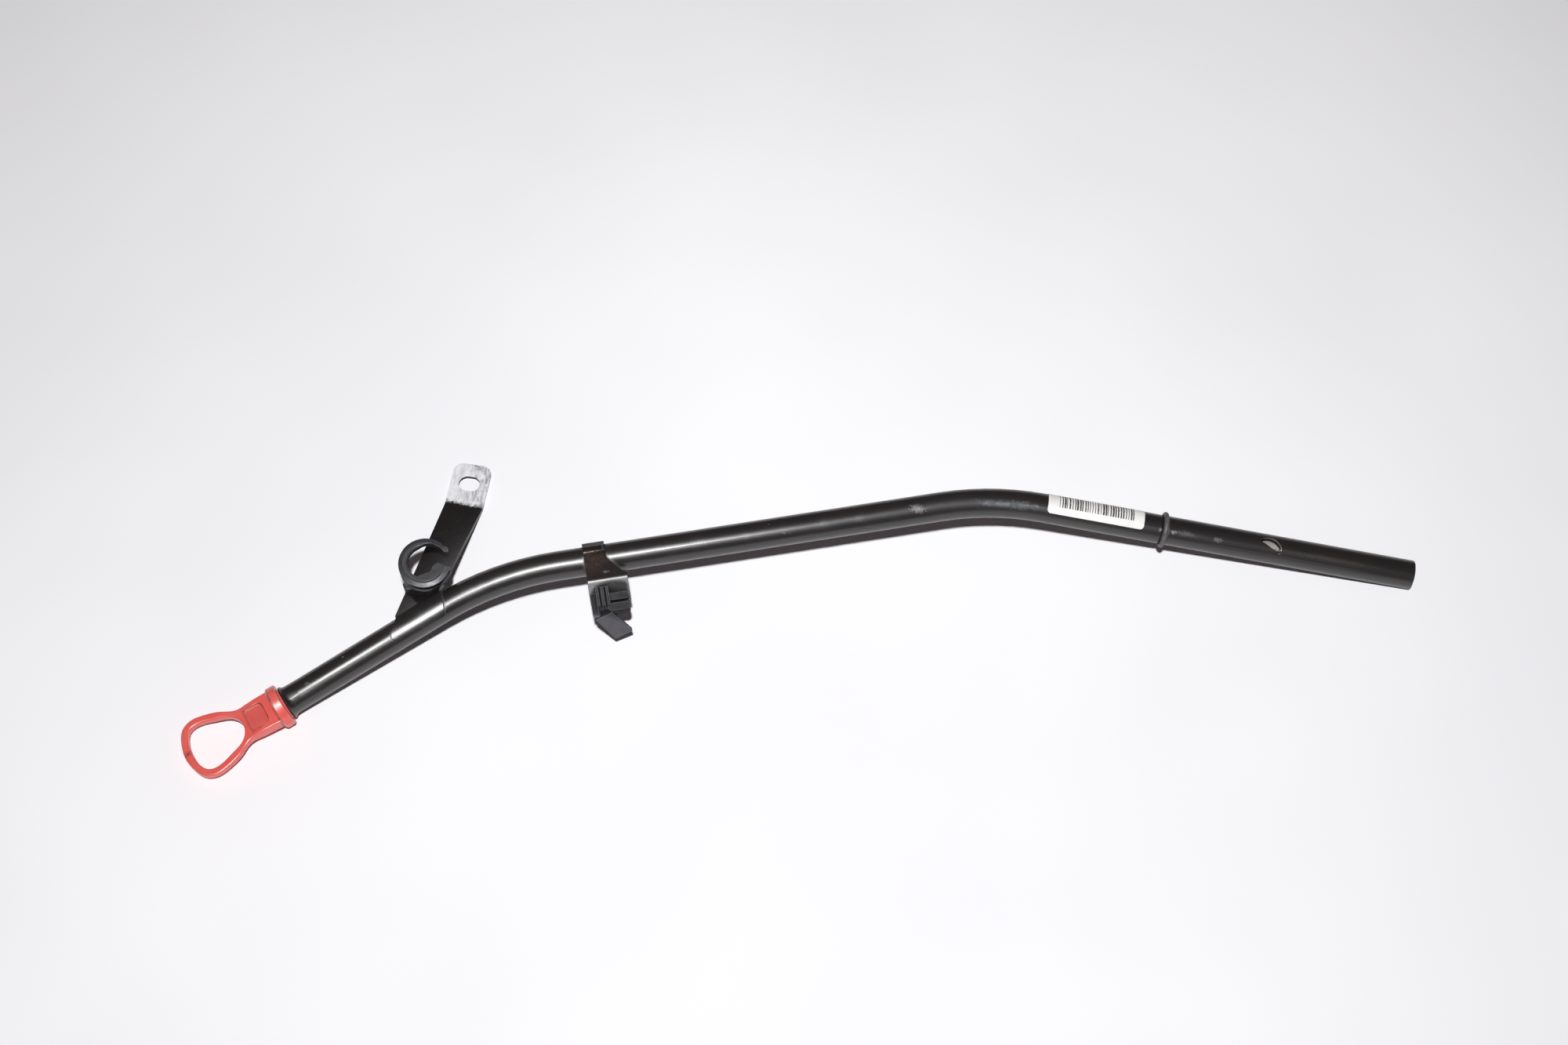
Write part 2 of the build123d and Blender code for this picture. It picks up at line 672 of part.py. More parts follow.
# Blade along the tube's centre line, with two gauge holes near its tip
blade_from = 0.55 * plug_length + seat_gap
with BuildPart() as dipstick_blade:
    with BuildLine(lie) as blade_run:
        FilletPolyline(
            tuple(mouth_2d + entry_2d * blade_from),
            (0, 0),
            (middle_run, 0),
            tuple(tail_2d - lower_2d * blade_short),
            radius=bend_radius,
        )
    with BuildSketch(mouth.offset(blade_from)):
        Rectangle(blade_width, blade_thick)
    sweep(path=blade_run.line)
    with BuildSketch(Plane(tail.offset(-blade_short).origin, x_dir=tail.z_dir, z_dir=tail.y_dir)):
        with Locations((-gauge_low, 0), (-gauge_high, 0)):
            Circle(gauge_hole / 2)
    extrude(amount=blade_thick, both=True, mode=Mode.SUBTRACT)

# Paper label wrapped on the lower run
label_in = tube_r + seat_gap
with BuildPart() as part_label:
    with BuildSketch(tail.offset(-label_from_end)):
        with BuildLine():
            inner = CenterArc((0, 0), label_in, label_far, label_near - label_far)
            outer_face = CenterArc((0, 0), label_in + label_thick, label_far, label_near - label_far)
            Line(inner @ 0, outer_face @ 0)
            Line(inner @ 1, outer_face @ 1)
        make_face()
    extrude(amount=label_length)
    # the edge towards the window has rounded corners
    near_edge = Plane(
        tail.offset(-label_from_end).origin, x_dir=tail.z_dir, z_dir=radial(tail, label_near)
    )
    with BuildSketch(near_edge) as label_outline:
        Rectangle(label_length, tube_od, align=(Align.MIN, Align.MIN))
        fillet(label_outline.vertices().group_by(Axis.Y)[0], label_corner)
    extrude(amount=tube_od, both=True, mode=Mode.INTERSECT)

guide_tube.part.label = "guide_tube"
export_step(guide_tube.part, "parts/guide_tube.step")
tube_seal.part.label = "tube_seal"
export_step(tube_seal.part, "parts/tube_seal.step")
mounting_bracket.part.label = "mounting_bracket"
export_step(mounting_bracket.part, "parts/mounting_bracket.step")
hose_clip.part.label = "hose_clip"
export_step(hose_clip.part, "parts/hose_clip.step")
clip_bracket.part.label = "clip_bracket"
export_step(clip_bracket.part, "parts/clip_bracket.step")
wiring_clip.part.label = "wiring_clip"
export_step(wiring_clip.part, "parts/wiring_clip.step")
dipstick_handle.part.label = "dipstick_handle"
export_step(dipstick_handle.part, "parts/dipstick_handle.step")
plug_seal_upper.part.label = "plug_seal_upper"
export_step(plug_seal_upper.part, "parts/plug_seal_upper.step")
plug_seal_lower.part.label = "plug_seal_lower"
export_step(plug_seal_lower.part, "parts/plug_seal_lower.step")
dipstick_blade.part.label = "dipstick_blade"
export_step(dipstick_blade.part, "parts/dipstick_blade.step")
part_label.part.label = "part_label"
export_step(part_label.part, "parts/part_label.step")
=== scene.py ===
import functools
import json
import math

import bmesh
import bpy
import numpy as np
from mathutils import Euler, Matrix, Vector


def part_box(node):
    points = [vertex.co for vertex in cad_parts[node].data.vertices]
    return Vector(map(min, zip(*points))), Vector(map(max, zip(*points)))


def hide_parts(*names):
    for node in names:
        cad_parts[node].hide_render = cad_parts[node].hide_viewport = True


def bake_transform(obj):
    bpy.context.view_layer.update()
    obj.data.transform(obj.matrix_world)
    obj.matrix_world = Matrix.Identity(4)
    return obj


bl_info = {
    "name": "Oil dipstick in its guide tube",
    "version": (1, 0, 0),
    "blender": (4, 5, 0),
    "location": "View3D > Sidebar > Dipstick",
    "description": "Dresses an oil dipstick and its guide tube and sets them on a white table",
    "category": "Object",
}

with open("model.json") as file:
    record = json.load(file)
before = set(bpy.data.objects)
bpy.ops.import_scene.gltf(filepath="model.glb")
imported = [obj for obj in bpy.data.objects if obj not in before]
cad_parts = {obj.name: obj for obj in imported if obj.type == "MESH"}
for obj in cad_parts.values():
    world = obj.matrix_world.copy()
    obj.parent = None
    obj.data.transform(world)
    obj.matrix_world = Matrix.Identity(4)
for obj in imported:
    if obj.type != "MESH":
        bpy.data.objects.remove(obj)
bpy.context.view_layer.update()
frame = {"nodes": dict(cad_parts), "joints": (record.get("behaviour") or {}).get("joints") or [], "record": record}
NODES = frame["nodes"]
MM = 0.001


def middle_of(node):
    """Centre of a node's box; for a ring it is the ring's own centre."""
    low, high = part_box(node)
    return (low + high) / 2


def mount(name):
    """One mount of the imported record."""
    return next(m for m in frame["record"]["mounts"] if m["name"] == name)


# Lines and places of the part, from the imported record, its rings and the first bend's angle
INTO_TUBE = -Vector(frame["joints"][0]["axis"]).normalized()
DOWN_TAIL = Vector(mount("lower_spigot")["axis"]).normalized()
OFF_BENDS = DOWN_TAIL.cross(INTO_TUBE).normalized()
FIRST_BEND = math.radians(-22.7)
MIDDLE_RUN = Matrix.Rotation(FIRST_BEND, 3, OFF_BENDS) @ INTO_TUBE
UPPER_SEAL = middle_of("plug_seal_upper")
TUBE_SEAL = middle_of("tube_seal")
TAB_FACE = Vector(mount("tab_face")["pos_m"])

# Places read from the photograph, in metres
PLATE_FOLD = Vector((-96.8, 4.6, 34.8)) * MM
CAMERA_AIM = Vector((-11.47, 54.28, -0.26)) * MM
CAMERA_EYE = Vector((-11.47, -630.15, 1182.34)) * MM

# Pale marks: scuffs and scratches, also two painted glints and one painted highlight streak; place in millimetres,
# direction, length and width in millimetres, and strength
TUBE_MARKS = (
    ((-235.3, -45.1, 20.7), INTO_TUBE, 2.8, 2.0, 0.45),
    ((-218.8, -33.0, 24.4), INTO_TUBE, 1.4, 1.0, 0.8),
    ((-14.1, 27.6, 40.0), (14.2, -5.5, -2.4), 15.0, 0.7, 0.6),
    ((-12.0, 25.4, 39.5), (14.2, -2.5, -1.0), 9.0, 0.5, 0.5),
    ((52.2, 37.8, 41.2), DOWN_TAIL, 8.0, 4.4, 0.8),
    ((181.5, 31.4, 28.3), DOWN_TAIL, 12.0, 3.4, 0.3),
    ((196.9, 29.2, 26.1), DOWN_TAIL, 5.0, 3.0, 0.6),
    # Two painted glints beside the rubber ring
    ((169.4, 32.7, 29.9), OFF_BENDS, 2.6, 2.2, 1.0),
    ((175.8, 31.9, 29.0), DOWN_TAIL, 3.0, 2.2, 0.9),
    # A painted broad highlight streak along the lower run
    ((249.0, 23.2, 19.2), DOWN_TAIL, 60.0, 2.6, 0.12),
)
PLATE_MARKS = (
    ((-103.4, 12.7, 43.7), MIDDLE_RUN, 12.0, 0.8, 0.55),
    ((-95.7, 6.3, 36.3), MIDDLE_RUN, 3.4, 1.6, 0.55),
    ((-97.4, 17.4, 42.9), (0.1, -0.9, 0.4), 7.0, 1.2, 0.55),
)

# Part of a noise's range over which a pattern comes in: all over, or in separate clouds
EVEN = (0.3, 0.7)
CLOUDS = (0.35, 0.75)
SMOOTH = {"interpolation_type": "SMOOTHSTEP"}

# Marks: shares of the half size at which a mark is gone and is full
MARK_FADE = {"From Min": 1.1, "From Max": 0.3}
# Painted edge highlights: cosines between rounded and true normal at which they start and are full
EDGE_HIGHLIGHT = {"From Min": 0.985, "From Max": 0.8}
# Painted shade in corners: open air that counts as shut in and as free, tone left where shut in, and its roughness
CORNER_SHADE = {"From Min": 0.42, "From Max": 0.82, "To Min": 0.2}
CORNER_ROUGHNESS = 0.95


def turn_of(x_way, z_way):
    """Euler turn of a frame whose Z is z_way and whose X is x_way made square to it."""
    z_axis = z_way.normalized()
    x_axis = (x_way - z_axis * x_way.dot(z_axis)).normalized()
    y_axis = z_axis.cross(x_axis)
    return Matrix((x_axis, y_axis, z_axis)).transposed().to_euler("XYZ")


def linear(hex_colour):
    """Linear red, green and blue of an sRGB hex colour."""
    srgb = np.array([int(hex_colour[i:i + 2], 16) for i in (1, 3, 5)]) / 255
    curve = ((srgb + 0.055) / 1.055) ** 2.4
    return tuple(np.where(srgb <= 0.04045, srgb / 12.92, curve).tolist())


def rgba(colour):
    """A linear colour as the four numbers that a colour socket takes."""
    return (*colour, 1.0)


def per_m(size_mm):
    """Texture scale whose pattern has about this size in millimetres."""
    return 1 / (size_mm * MM)


def add_node(tree, kind, inputs, output=0, **settings):
    """Adds one shader node with its settings, sets or links its inputs and gives one output."""
    made = tree.nodes.new("ShaderNode" + kind)
    for name, value in settings.items():
        setattr(made, name, value)
    for key, value in inputs.items():
        if isinstance(value, bpy.types.NodeSocket):
            tree.links.new(value, made.inputs[key])
        else:
            made.inputs[key].default_value = value
    return None if output is None else made.outputs[output]


def start_material(name):
    """Empty material: gives it, the function that adds its nodes, and its Object coordinates."""
    material = bpy.data.materials.new(name)
    material.use_nodes = True
    material.node_tree.nodes.clear()
    add = functools.partial(add_node, material.node_tree)
    return material, add, add("TexCoord", {}, "Object")


def patches(add, at, size_mm, part, give=(0.0, 1.0), detail=4.0, rough=0.6):
    """Cloudy patches of about this size: noise that passes smoothly over a part of its range.

    It gives the first number of give below that part and the second above it.
    """
    noise = {"Vector": at, "Scale": per_m(size_mm), "Detail": detail, "Roughness": rough}
    limits = {"From Min": part[0], "From Max": part[1], "To Min": give[0], "To Max": give[1]}
    return add("MapRange", {"Value": add("TexNoise", noise, "Fac"), **limits}, **SMOOTH)


def span(add, local, axis, low_mm, high_mm, soft_mm=0.05):
    """Mask that is 1 between two places on one axis of a frame, and fades over a short length."""
    place = add("SeparateXYZ", {"Vector": local}, axis)
    ends = {}
    for index, (end_mm, inwards) in enumerate(((low_mm, soft_mm), (high_mm, -soft_mm))):
        fade = {"From Min": (end_mm - inwards) * MM, "From Max": (end_mm + inwards) * MM}
        ends[index] = add("MapRange", {"Value": place, **fade}, **SMOOTH)
    return add("Math", ends, operation="MULTIPLY")


def off_axis(add, local):
    """Distance from the Z axis of a frame."""
    across = add("VectorMath", {0: local, 1: (1, 1, 0)}, operation="MULTIPLY")
    return add("VectorMath", {0: across}, "Value", operation="LENGTH")


def mark(add, at, place_mm, along, length_mm, width_mm, ragged=0.6, grain_mm=0.9):
    """Mask of one mark: 1 inside a long ellipsoid at a place, its edge frayed by fine noise."""
    turn = Vector(along).to_track_quat("X", "Z").to_euler("XYZ")
    half = (length_mm * MM / 2, width_mm * MM / 2, width_mm * MM / 2)
    local = add(
        "Mapping",
        {"Vector": at, "Location": Vector(place_mm) * MM, "Rotation": turn, "Scale": half},
        vector_type="TEXTURE",
    )
    reach = add("VectorMath", {0: local}, "Value", operation="LENGTH")
    fray = patches(add, at, grain_mm, (0.2, 0.8), (-ragged, ragged), rough=0.7)
    uneven = add("Math", {0: reach, 1: fray}, operation="ADD")
    inside = add("MapRange", {"Value": uneven, **MARK_FADE}, **SMOOTH)
    speckle = patches(add, at, grain_mm * 0.6, (0.4, 0.62), (0.25, 1.0), rough=0.7)
    return add("Math", {0: inside, 1: speckle}, operation="MULTIPLY")


def start_skin(add, mask, tones, roughness):
    """First layers of a skin: one tone that passes to another where a mask is 1."""
    first, second = (rgba(tone) for tone in tones)
    colour = add("Mix", {"Factor": mask, 6: first, 7: second}, 2, data_type="RGBA")
    return {"Base Color": colour, "Roughness": roughness}


def lay_over(add, skin, mask, colour, roughness=None, metal=None):
    """Lays another surface over a skin where a mask is 1; what isn't given stays as it is."""
    layers = {"Factor": mask, 6: skin["Base Color"], 7: colour}
    skin["Base Color"] = add("Mix", layers, 2, data_type="RGBA")
    for socket, value in (("Roughness", roughness), ("Metallic", metal)):
        if value is not None:
            skin[socket] = add("Mix", {"Factor": mask, 2: skin[socket], 3: value})


def lay_marks_and_glints(add, at, skin, marks, colour, roughness, metal):
    """Lays a list of marks into a skin: scuffs, and painted glints and highlight streaks where a list holds them.
    """
    for place, way, length, width, strength in marks:
        shape = mark(add, at, place, way, length, width)
        faint = add("Math", {0: shape, 1: strength}, operation="MULTIPLY")
        lay_over(add, skin, faint, rgba(colour), roughness, metal)


def paint_edge_highlights(add, skin, width_mm, strength, colour):
    """Paints pale highlights on a skin's edges, where the surface turns sharply within this width."""
    rounded = add("Bevel", {"Radius": width_mm * MM}, samples=8)
    true = add("NewGeometry", {}, "Normal")
    facing = add("VectorMath", {0: rounded, 1: true}, "Value", operation="DOT_PRODUCT")
    edges = add("MapRange", {"Value": facing, **EDGE_HIGHLIGHT}, **SMOOTH)
    # The paleness along the edges is a painted highlight
    worn = add("Math", {0: edges, 1: strength}, operation="MULTIPLY")
    lay_over(add, skin, worn, rgba(colour))


def close_skin(add, skin, height, strength, depth_mm, edge_mm, painted_shade_mm=0.0, **constants):
    """Joins the layers of a skin to one shader, with bump from a height and rounded edges.

    Places shut in within the corner distance get painted shade and turn dull.
    The constants are sockets of the shader that have one value all over, with _ for a space in their names.
    """
    if painted_shade_mm:
        # Painted shade: the colour darkens where little open air is around
        open_air = add("AmbientOcclusion", {"Distance": painted_shade_mm * MM}, "AO", samples=8)
        shade = add("MapRange", {"Value": open_air, **CORNER_SHADE})
        layers = {"Factor": 1.0, 6: skin["Base Color"], 7: shade}
        skin["Base Color"] = add("Mix", layers, 2, data_type="RGBA", blend_type="MULTIPLY")
        dull = {"Factor": shade, 2: CORNER_ROUGHNESS, 3: skin["Roughness"]}
        skin["Roughness"] = add("Mix", dull)
    edge = add("Bevel", {"Radius": edge_mm * MM}, samples=6)
    bump = {"Height": height, "Strength": strength, "Distance": depth_mm * MM, "Normal": edge}
    sockets = {name.replace("_", " "): value for name, value in constants.items()}
    shader = add("BsdfPrincipled", {**skin, "Normal": add("Bump", bump), **sockets}, "BSDF")
    add("OutputMaterial", {"Surface": shader}, None)


def dress(node, material):
    """Gives a CAD node's object one material."""
    slots = NODES[node].data.materials
    slots.clear()
    slots.append(material)


def a_colour(name, description, hex_colour):
    """Property for a colour, given as an sRGB hex value."""
    return bpy.props.FloatVectorProperty(
        name=name, description=description, subtype="COLOR", default=linear(hex_colour)
    )


def a_roughness(name, description, default):
    """Property for the roughness of a surface."""
    return bpy.props.FloatProperty(
        name=name, description=description, default=default, min=0.05, max=1.0
    )


def a_length(name, description, size_mm):
    """Property for a length, given in millimetres."""
    return bpy.props.FloatProperty(
        name=name, description=description, subtype="DISTANCE", unit="LENGTH",
        default=size_mm * MM, min=0.2 * MM,
    )


def an_angle(name, description, degrees):
    """Property for an angle, given in degrees."""
    return bpy.props.FloatProperty(
        name=name, description=description, subtype="ANGLE", default=math.radians(degrees)
    )


class TubeFinish(bpy.types.PropertyGroup):
    """Paint of the guide tube and of both brackets."""

    paint: a_colour("Paint", "Black dip paint", "#1f1d1d")
    thin: a_colour("Thin paint", "Browner tone where the paint is thin", "#262120")
    # The same grey also paints the glints and the highlight streak on the tube
    rubbed_and_painted_light: a_colour("Rubbed paint", "Grey of rubbed and scuffed paint", "#8d8885")
    cut: a_colour("Cut steel", "Bare steel of the bore and of the window's cut", "#a7a4a3")
    # Its bluish colour is a painted sheen over hazy paint
    haze_and_painted_sheen: a_colour("Haze", "Bluish haze on the second bend", "#7d8696")
    gloss: a_roughness("Roughness", "Roughness of the dip paint where it is clean", 0.24)
    wave: a_length("Paint wave", "Size of the paint's slight waviness", 3.0)
    worn_gloss: a_roughness("Worn roughness", "Roughness of the paint on the worn lower run", 0.29)


class BracketFinish(bpy.types.PropertyGroup):
    """Bare tab of the mounting bracket, and the dull plate of the clip bracket."""

    bare: a_colour("Bare steel", "Ground steel of the tab", "#eeeef1")
    dull: a_colour("Dull steel", "Rubbed streaks on the tab", "#999aa1")
    # A paler grey, laid in clouds on the flat plate and mostly at its sides
    dust: a_colour("Dust", "Dust on the clip bracket's plate", "#4a474a")
    # The brownish tone over the tube is a painted reflection
    painted_brown_reflection: a_colour("Brown", "Brownish paint of the clip bracket over the tube", "#3d3029")
    fold_back: a_length("Fold", "From the tab's mount to the fold where the paint stops", 21.0)
    tab_turn: an_angle("Tab turn", "Turn of the tab about the upright", -9.0)
    plate_gloss: a_roughness("Plate roughness", "Roughness of the clip bracket's dull plate", 0.5)


class ClipFinish(bpy.types.PropertyGroup):
    """Plastic of the hose clip and the wiring clip, and rubber of the seals."""

    nylon: a_colour("Nylon", "Black nylon of the wiring clip", "#1a191c")
    cloud: a_colour("Nylon clouds", "Paler clouds in the black nylon", "#222124")
    # Painted highlight along the wiring clip's edges
    nylon_edge_highlight: a_colour("Nylon edges", "Pale edges of the wiring clip", "#84848a")
    # The tongue's grey is a painted sheen
    rubbed_and_painted_light: a_colour("Rubbed nylon", "Grey of the wiring clip's rubbed tongue", "#59585c")
    satin: a_colour("Satin nylon", "Dark grey nylon of the hose clip", "#313034")
    flow: a_colour("Flow marks", "Paler clouds in the satin nylon", "#3d3c40")
    # Painted highlight along the hose clip's edges
    satin_edge_highlight: a_colour("Satin edges", "Pale edges of the hose clip", "#a2a2a7")
    hose_gloss: a_roughness("Hose clip roughness", "Roughness of the satin hose clip", 0.4)
    wiring_gloss: a_roughness("Wiring clip roughness", "Roughness of the matt wiring clip", 0.62)
    rubber: a_colour("Rubber", "Nitrile rubber of the rings", "#4c4a4b")
    film: a_colour("Film", "Dust film on the rubber", "#5e5c5d")


class HandleFinish(bpy.types.PropertyGroup):
    """Moulding of the pull handle."""

    red: a_colour("Red", "Red moulded plastic", "#e3584f")
    worn: a_colour("Worn red", "Paler red where fingers rub", "#e6675e")
    # Painted highlight along the handle's edges
    edge: a_colour("Edges", "Pale edges of the handle", "#f7cfc9")
    # One colour for the recess's oily film, the stain, and the painted shade in the recess and at the collar
    grime_and_painted_shade: a_colour("Grime", "Oily dirt in the recess and at the collar", "#5a2a25")
    lift: an_angle("Lift", "Lift of the handle from the line of the plug", 2.75)
    turn: an_angle("Turn", "Turn of the handle from the line of the plug", -1.0)
    seal_depth: a_length("Seal depth", "From the tube's mouth to the plug's upper seal", 9.24)


class BladeFinish(bpy.types.PropertyGroup):
    """Spring steel of the blade."""

    steel: a_colour("Spring steel", "Bright rolled steel", "#b3b1ad")
    oil: a_colour("Oil", "Brownish film of oil", "#94897a")


class LabelPrint(bpy.types.PropertyGroup):
    """Paper label and its bars."""

    paper: a_colour("Paper", "White label paper", "#f1f0ee")
    mottle: a_colour("Mottle", "Darker mottle of the paper", "#e7e5e1")
    ink: a_colour("Ink", "Black printed bars", "#1d171a")
    bar_pitch: a_length("Bar pitch", "From one bar to the next", 1.25)
    bar_reach: a_length("Bar reach", "Half the length of the printed block", 18.4)


class StudioLook(bpy.types.PropertyGroup):
    """Table, lamps and camera."""

    table: a_colour("Table", "White table top", "#fbfbfd")
    cloud: a_colour("Table clouds", "Broad faint clouds on the table", "#f6f6f9")
    key_power: bpy.props.FloatProperty(
        name="Key", description="Lamp by the camera", unit="POWER", default=11.8
    )
    sheen_power: bpy.props.FloatProperty(
        name="Sheen", description="Strip lamp, seen only in gloss", unit="POWER", default=6.5
    )
    air: a_colour("Air", "Colour of the soft light all round", "#ffeaf1")
    world: bpy.props.FloatProperty(
        name="World", description="Strength of the soft light all round", default=0.06
    )
    lens: bpy.props.FloatProperty(
        name="Lens", description="Focal length on a 36 mm wide sensor", unit="CAMERA", default=63.6
    )


class DipstickLook(bpy.types.PropertyGroup):
    """All settings of the dipstick's looks."""

    tube: bpy.props.PointerProperty(type=TubeFinish)
    bracket: bpy.props.PointerProperty(type=BracketFinish)
    clips: bpy.props.PointerProperty(type=ClipFinish)
    handle: bpy.props.PointerProperty(type=HandleFinish)
    blade: bpy.props.PointerProperty(type=BladeFinish)
    label: bpy.props.PointerProperty(type=LabelPrint)
    studio: bpy.props.PointerProperty(type=StudioLook)


def dip_paint(look, name, drawn=0.0):
    """Starts a skin of black dip paint on steel, for a tube or a bracket.

    The coat is nearly black and glossy, browner where it is thin, with a faint wave that makes
    highlights waver. Lines of drawn steel under it spread its highlights across the tube.
    Gives the material, its node maker, coordinates, layers and the height of the wave.
    """
    material, add, at = start_material(name)
    thin = patches(add, at, 38.0, (0.35, 0.7))
    uneven = patches(add, at, 9.0, (0.42, 0.75), (look.gloss, look.gloss + 0.05))
    skin = start_skin(add, thin, (look.paint, look.thin), uneven)
    skin["Metallic"] = 0.0
    skin["Anisotropic"] = drawn
    if drawn:
        along = (0.97, 0.2, 0.0)
        normal = add("NewGeometry", {}, "Normal")
        skin["Tangent"] = add("VectorMath", {0: normal, 1: along}, operation="CROSS_PRODUCT")
    ripple = {"Vector": at, "Scale": 1 / look.wave, "Detail": 2.0, "Roughness": 0.4}
    return material, add, at, skin, add("TexNoise", ripple, "Fac")


def dip_painted_tube(look):
    """Black dip paint on drawn steel tube.

    It has scuffs where it was handled, painted glints and a painted highlight streak, a painted bluish
    sheen on the second bend, painted shade in its corners, and bare grey steel in the bore and the cuts.
    """
    material, add, at, skin, wave = dip_paint(look, "dip painted drawn steel tube", drawn=0.5)
    local = add(
        "Mapping",
        {"Vector": at, "Location": TUBE_SEAL, "Rotation": turn_of(OFF_BENDS, DOWN_TAIL)},
        vector_type="TEXTURE",
    )
    # Bore and cuts: just under the outer surface, below the rubber ring
    under = {"Value": off_axis(add, local), "From Min": 6.97 * MM, "From Max": 6.9 * MM}
    inside = add("MapRange", under, **SMOOTH)
    below = span(add, local, "Z", 4.0, 200.0, soft_mm=0.5)
    bare = add("Math", {0: inside, 1: below}, operation="MULTIPLY")
    along = add("SeparateXYZ", {"Vector": at}, "X")
    lower_run = {"Value": along, "From Min": 10 * MM, "From Max": 110 * MM}
    worn = add("MapRange", lower_run, **SMOOTH)
    skin["Roughness"] = add("Mix", {"Factor": worn, 2: skin["Roughness"], 3: look.worn_gloss})
    lay_over(add, skin, bare, rgba(look.cut), roughness=0.4, metal=0.2)
    lay_marks_and_glints(add, at, skin, TUBE_MARKS, look.rubbed_and_painted_light, roughness=0.5, metal=0.0)

    # Painted bluish sheen on the second bend, over rougher hazy paint
    way = (32.0, -0.8, -3.9)
    haze_and_painted_sheen = mark(add, at, (96.0, 41.0, 39.5), way, 42.0, 5.0, ragged=0.5, grain_mm=4.0)
    faint = add("Math", {0: haze_and_painted_sheen, 1: 0.32}, operation="MULTIPLY")
    lay_over(add, skin, faint, rgba(look.haze_and_painted_sheen), roughness=0.5, metal=0.0)
    close_skin(
        add, skin, wave, strength=0.02, depth_mm=0.2, edge_mm=0.15, painted_shade_mm=2.2,
        Specular_IOR_Level=0.85,
    )
    return material


def dip_painted_bracket(look, tab):
    """Black dip paint on pressed sheet steel, ground off on the tab.

    The tab is bright steel with worn diagonal streaks, denser to the right, which paints in the tab's shading. The
    paint is glossy on the saddle.
    """
    name = "dip painted sheet steel with ground tab"
    material, add, at, skin, wave = dip_paint(look, name, drawn=0.5)
    turned = Euler((0, 0, tab.tab_turn))
    fold = TAB_FACE - turned.to_matrix() @ Vector((0, tab.fold_back, 0))
    local = add(
        "Mapping", {"Vector": at, "Location": fold, "Rotation": turned}, vector_type="TEXTURE"
    )

    # From the fold, X is across the tab and Y towards its end.
    # The paint's edge runs askew over the tab and frays
    askew = (0.08, 1, 0)
    slant = add("VectorMath", {0: local, 1: askew}, "Value", operation="DOT_PRODUCT")
    fray = patches(add, at, 1.5, (0.2, 0.8), (-1.2 * MM, 1.2 * MM), detail=5.0, rough=0.7)
    frayed = add("Math", {0: slant, 1: fray}, operation="ADD")
    fade = {"Value": frayed, "From Min": -0.2 * MM, "From Max": 2.6 * MM}
    past = add("MapRange", fade, **SMOOTH)
    # Walls of the slot keep their paint
    slot_middle = (0, 12.8 * MM, 1 * MM)
    hole = add("VectorMath", {0: local, 1: slot_middle}, operation="SUBTRACT")
    walls = span(add, hole, "X", -6, 6)
    for reach in (span(add, hole, "Y", -5, 5), span(add, hole, "Z", -0.92, 0.92, soft_mm=0.04)):
        walls = add("Math", {0: walls, 1: reach}, operation="MULTIPLY")
    bare = add("Math", {0: past, 1: walls}, operation="SUBTRACT", use_clamp=True)

    # Diagonal streaks in clouds, denser to the right where they paint in the tab's shading, and one worn corner
    diagonal = {"Rotation": (0, 0, math.radians(24)), "Scale": (1, 0.14, 1)}
    drawn = add("Mapping", {"Vector": local, **diagonal})
    streaks = patches(add, drawn, 1.0, (0.34, 0.6), detail=5.0, rough=0.75)
    clouds = patches(add, local, 6.5, (0.38, 0.6))
    across = add("SeparateXYZ", {"Vector": local}, "X")
    # Painted shade: the streaks grow denser to the right
    rise = {"From Min": -6 * MM, "From Max": 8 * MM, "To Min": 0.3, "To Max": 1.0}
    rubbed_and_painted_light = streaks
    for share in (clouds, add("MapRange", {"Value": across, **rise})):
        rubbed_and_painted_light = add("Math", {0: rubbed_and_painted_light, 1: share}, operation="MULTIPLY")
    way = (0.75, -0.55, 0)
    corner = mark(add, at, (-163.4, 84.2, 2.0), way, 10.0, 6.0, ragged=0.4, grain_mm=1.4)
    rubbed_and_painted_light = add("Math", {0: rubbed_and_painted_light, 1: corner}, operation="MAXIMUM")
    steels = {"Factor": rubbed_and_painted_light, 6: rgba(tab.bare), 7: rgba(tab.dull)}
    steel = add("Mix", steels, 2, data_type="RGBA")
    shine = patches(add, drawn, 1.4, EVEN, (0.36, 0.5))
    metal = add("MapRange", {"Value": rubbed_and_painted_light, "To Min": 0.12, "To Max": 0.5})
    lay_over(add, skin, bare, steel, shine, metal)
    scratched = add("Math", {0: streaks, 1: bare}, operation="MULTIPLY")
    height = add("Math", {0: wave, 1: scratched}, operation="ADD")

    # Glossy on the saddle, dull on the foot behind it and on the strip
    run = add(
        "Mapping",
        {"Vector": at, "Location": UPPER_SEAL, "Rotation": turn_of(OFF_BENDS, INTO_TUBE)},
        vector_type="TEXTURE",
    )
    back = add("SeparateXYZ", {"Vector": add("NewGeometry", {}, "Normal")}, "Y")
    behind = {"Value": back, "From Min": 0.1, "From Max": 0.35, "To Max": 2 * MM}
    off = add("Math", {0: off_axis(add, run), 1: add("MapRange", behind)}, operation="ADD")
    dulling = {"From Min": 9.4 * MM, "From Max": 10.6 * MM, "To Min": 0.85, "To Max": 0.22}
    skin["Specular IOR Level"] = add("MapRange", {"Value": off, **dulling})
    close_skin(add, skin, height, strength=0.04, depth_mm=0.2, edge_mm=0.3, painted_shade_mm=2.0)
    return material


